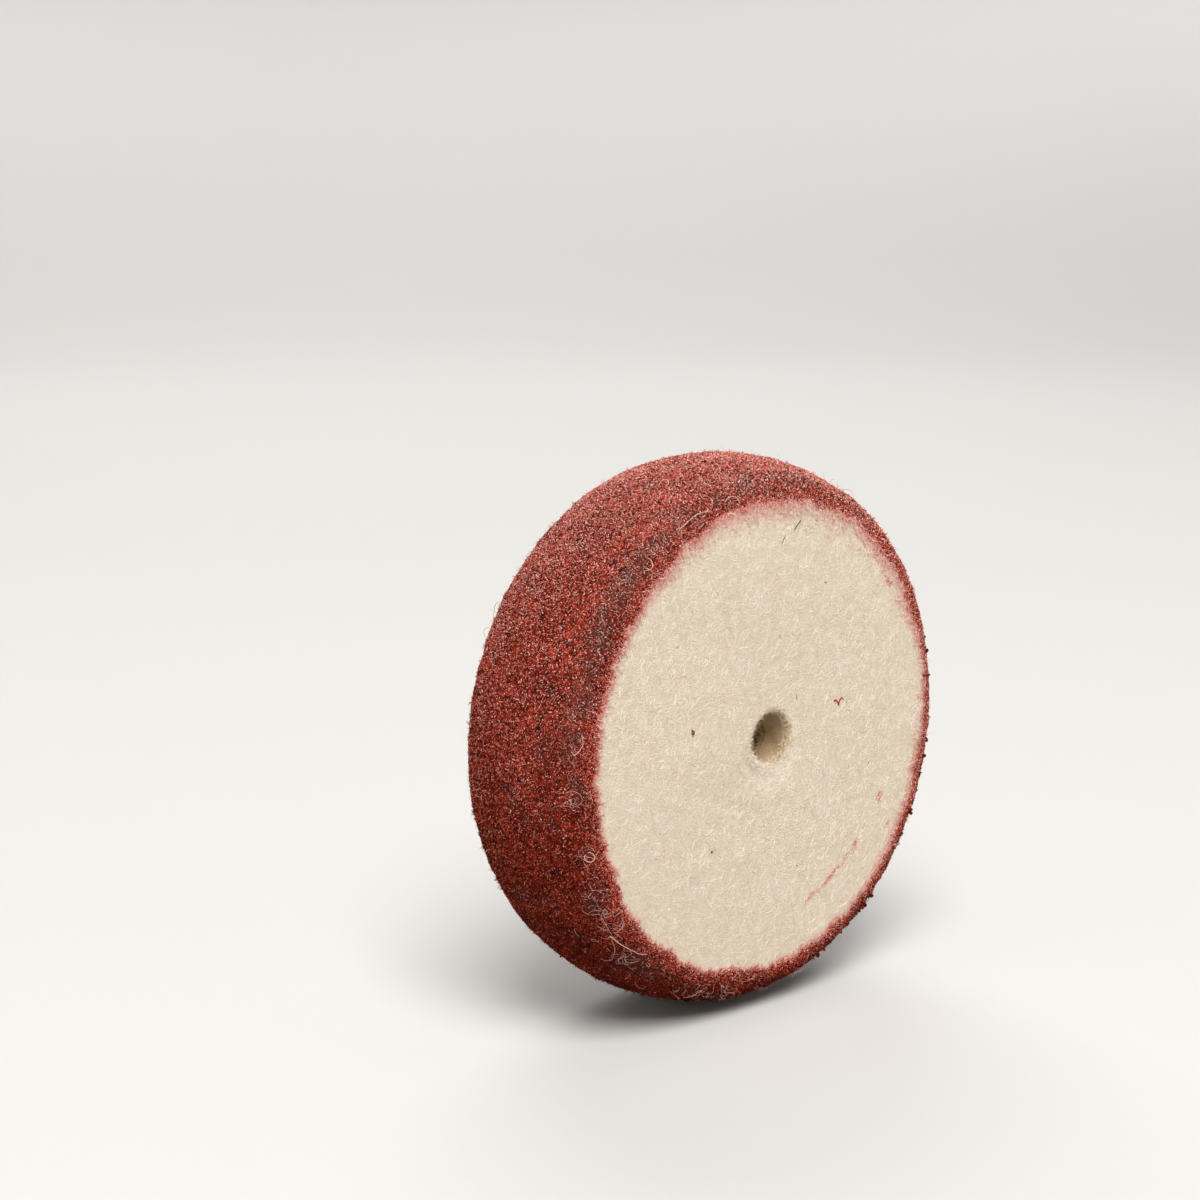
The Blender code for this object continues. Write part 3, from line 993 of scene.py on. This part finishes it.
def make_crumbs(materials):
    """Crumbs of compound on the rim, each of a few lumps: larger on the front half, small all over."""
    rng = np.random.default_rng(37)
    edge, rest, lumps = 46, 70, 4
    clock = np.concatenate([rng.uniform(*CRUMB_CLOCKS, edge), rng.uniform(0, TURN, rest)])
    run = np.concatenate([rng.uniform(-FACE_RUN + 1.0 * MM, -0.3 * FACE_RUN, edge),
                          rng.uniform(-FACE_RUN, FACE_RUN, rest)])
    sizes = np.concatenate([rng.uniform(0.35, 0.85, edge), rng.uniform(0.2, 0.4, rest)]) * MM
    clock, run, sizes = (np.repeat(part, lumps) for part in (clock, run, sizes))
    count = len(clock)
    clock = clock + rng.normal(0, 0.5, count) * sizes / WHEEL_RADIUS
    run = run + rng.normal(0, 0.5, count) * sizes
    sizes = sizes * rng.uniform(0.5, 1.2, count)
    kinds = rng.choice(3, count, p=[0.5, 0.3, 0.2])
    lift = rng.uniform(0.3, 0.9, count)
    crumbs("compound_crumbs", clock, run, sizes, lift, kinds, materials, rng)


def make_red_marks(materials):
    """Short red fibres caught in the front face: along the thin streak, and in patches near the rim."""
    rng = np.random.default_rng(41)
    steps = 5
    tries = rng.uniform(STREAK_STRENGTH[0][0], STREAK_STRENGTH[0][-1], STREAK_TRIES)
    streak = tries[rng.uniform(0, 1.6, len(tries)) < np.interp(tries, *STREAK_STRENGTH) ** 2]
    parts = [(streak, streak_radius(streak) + rng.normal(0, 0.26 * MM, len(streak)),
              rng.normal(0, 0.45, len(streak)))]
    for clock, radius, spread, count in RED_PATCHES:
        parts.append((math.radians(clock) + rng.normal(0, 1.2 * spread, count) / radius,
                      (radius + rng.normal(0, 0.6 * spread, count)) * MM, rng.normal(0, 1.0, count)))
    clock, radius, heading = joined(parts)
    count = len(clock)
    height = arched(count, steps, -0.03 * MM, 0.05 * MM, -0.03 * MM) * rng.uniform(0.4, 1.5, (count, 1))
    bends = wavy(count, steps - 1, 1.2, 0.3, rng)
    paths = laid(clock, -face_run(radius), heading, bends, rng.uniform(0.3, 0.8, count) * MM, height)
    kinds = rng.choice(4, count, p=[0.15, 0.30, 0.35, 0.20])
    hair_piece("red_marks", paths, rng.uniform(0.06, 0.12, count) * MM, kinds, materials)


def make_face_specks(materials):
    """Specks on both faces, and one bright one on the rim."""
    rng = np.random.default_rng(39)
    rows = [(clock, -face_run(radius * MM), size, kind) for clock, radius, size, kind in FRONT_SPECKS]
    for _ in range(REAR_SPECKS):
        radius = math.sqrt(rng.uniform(8 ** 2, 41 ** 2)) * MM
        rows.append((rng.uniform(0, 360), face_run(radius), rng.uniform(0.15, 0.45), rng.integers(0, 3)))
    lift = [0.1] * len(rows) + [0.8]
    clock, run, size, kind = np.array([*rows, RIM_SPECK], float).T
    kinds = kind.astype(int)
    crumbs("felt_specks", np.radians(clock), run, size * MM, lift, kinds, materials, rng)


def smooth_path(points, steps):
    """A smooth curve through a few points, by Catmull and Rom."""
    points = np.array(points, float)
    ends = np.concatenate([2 * points[:1] - points[1:2], points, 2 * points[-1:] - points[-2:-1]])
    place = np.linspace(0, len(points) - 1, steps)
    first = np.minimum(place.astype(int), len(points) - 2)
    t = (place - first)[:, None]
    before, start, end, after = (ends[first + k] for k in range(4))
    return 0.5 * (2 * start + (end - before) * t + (2 * before - 5 * start + 4 * end - after) * t ** 2
                  + (3 * start - before - 3 * end + after) * t ** 3)


def make_face_hairs(materials):
    """Single coloured hairs lying on the two faces."""
    steps = 14
    height = arched(1, steps, 0.02 * MM, 0.10 * MM, 0.02 * MM)[0]
    paths = []
    for clock, radius, points, _, _, side in FACE_HAIRS:
        clock = math.radians(clock)
        flat = smooth_path(points, steps) + radius * np.array([math.sin(clock), math.cos(clock)])
        clocks, radii = np.arctan2(flat[:, 0], flat[:, 1]) % TURN, np.linalg.norm(flat, axis=1) * MM
        runs = side * face_run(radii)
        base, normals = on_outline(clocks, runs)
        paths.append(base + (ground(clocks, runs) + height)[:, None] * normals)
    thickness = np.array([row[3] for row in FACE_HAIRS]) * MM
    kinds = np.array([row[4] for row in FACE_HAIRS])
    hair_piece("face_hairs", np.array(paths), thickness, kinds, materials, tip=0.5, sides=5)


# ---- studio and camera

def aim(thing, location, back):
    """Places a camera or light so that it looks against the direction back."""
    thing.location = location
    thing.rotation_mode = "QUATERNION"
    thing.rotation_quaternion = (-back).to_track_quat("-Z", "Y")


def make_camera():
    back = Vector((math.sin(VIEW_AZIMUTH) * math.cos(VIEW_ELEVATION),
                   -math.cos(VIEW_AZIMUTH) * math.cos(VIEW_ELEVATION), math.sin(VIEW_ELEVATION)))
    right = Vector((math.cos(VIEW_AZIMUTH), math.sin(VIEW_AZIMUTH), 0))
    data = bpy.data.cameras.new("camera")
    data.sensor_width = SENSOR_WIDTH
    data.lens = SENSOR_WIDTH / 2 / math.tan(FIELD_OF_VIEW / 2)
    data.clip_start, data.clip_end = 0.01, 20
    camera = link("camera", data)
    location = VIEW_AWAY * back - VIEW_RIGHT * right - VIEW_UP * back.cross(right)
    aim(camera, (WHEEL_RADIUS + NAP_OUTLINE) * location, back)
    bpy.context.scene.camera = camera


def make_studio():
    """A pale round floor that curves up into a wall on all sides."""
    turns = 96
    turn = np.arange(turns)
    shares = np.array([0.1, 0.3, 0.6, 1.0])
    bend = np.linspace(0, math.pi / 2, 16)[1:]
    radius = np.concatenate([FLOOR_RADIUS * shares, FLOOR_RADIUS + FLOOR_CURVE * np.sin(bend),
                             [FLOOR_RADIUS + FLOOR_CURVE]])[:, None]
    height = np.concatenate([0 * shares, FLOOR_CURVE * (1 - np.cos(bend)), [WALL_HEIGHT]])[:, None]
    x, y, z = np.broadcast_arrays(radius * np.cos(full_turn(turns)), radius * np.sin(full_turn(turns)),
                                  FLOOR + height)
    points = np.concatenate([[(0.0, 0.0, FLOOR)], np.stack([x, y, z], axis=-1).reshape(-1, 3)])
    middle = np.stack([0 * turn, 1 + turn, 1 + (turn + 1) % turns], axis=-1)
    quads = 1 + closed_grid(len(radius), turns)[:-turns, [0, 3, 2, 1]]
    studio = link("studio_floor", mesh_of("studio_floor", points, [quads, middle], [studio_material()]))


def light_studio():
    for name, place, power, colour in LIGHTS:
        data = bpy.data.lights.new(name, "AREA")
        data.shape = "SQUARE"
        data.size = LIGHT_SIZE
        data.energy = power
        data.color = colour
        aim(link(name, data), place, Vector(place))
    world = bpy.data.worlds.new("studio_world")
    world.use_nodes = True
    background = world.node_tree.nodes["Background"]
    background.inputs["Color"].default_value = SKY_COLOUR
    background.inputs["Strength"].default_value = SKY_STRENGTH
    bpy.context.scene.world = world
    bpy.context.scene.view_settings.view_transform = "Standard"


# ---- everything together

make_camera()
make_studio()
light_studio()
# felt_tan is painted shade, for fibres round the hole
felt = [hair_material("felt_white", CREAM_WHITE, 0.2, (1, 1, 1)), hair_material("felt_cream", CREAM_LIGHT),
        hair_material("felt_shade", CREAM_SHADE), hair_material("felt_tan", SHADE_TAN)]
nap = hair_materials("nap", **NAP_COLOURS)
pale_pink = hair_material("nap_pale_pink", PALE_PINK)
lint = [hair_material("lint_pale", LINT), hair_material("lint_dull", LINT_DULL)]
specks = hair_materials("speck", soot=SOOT, brown=BROWN, pink=PINK, teal=TEAL)
hairs = hair_materials("hair", soot=SOOT, red=BRIGHT_RED, brown=BROWN, pink=PINK, dark_red=FIBRE_RED)
nap_hairs = list(nap.values())

make_felt_body()
make_face_fuzz("front_fuzz", -1, felt[:3], 10)
make_face_fuzz("rear_fuzz", 1, felt[:3], 11)
make_lip_fibres([*felt, nap["deep_red"]])
make_coat()
make_nap(nap_hairs)
make_stubble(nap_hairs)
make_fringe("front_fringe", -1, [*nap_hairs, pale_pink], 21)
make_fringe("rear_fringe", 1, [*nap_hairs, pale_pink], 22)
make_lint(lint)
make_stray_hairs(lint)
make_loops(lint)
make_crumbs([nap["deep_red"], nap["maroon"], nap["red"]])
make_red_marks([nap["red"], nap["dusty_red"], nap["rose"], pale_pink])
make_face_specks(specks.values())
make_face_hairs(hairs.values())
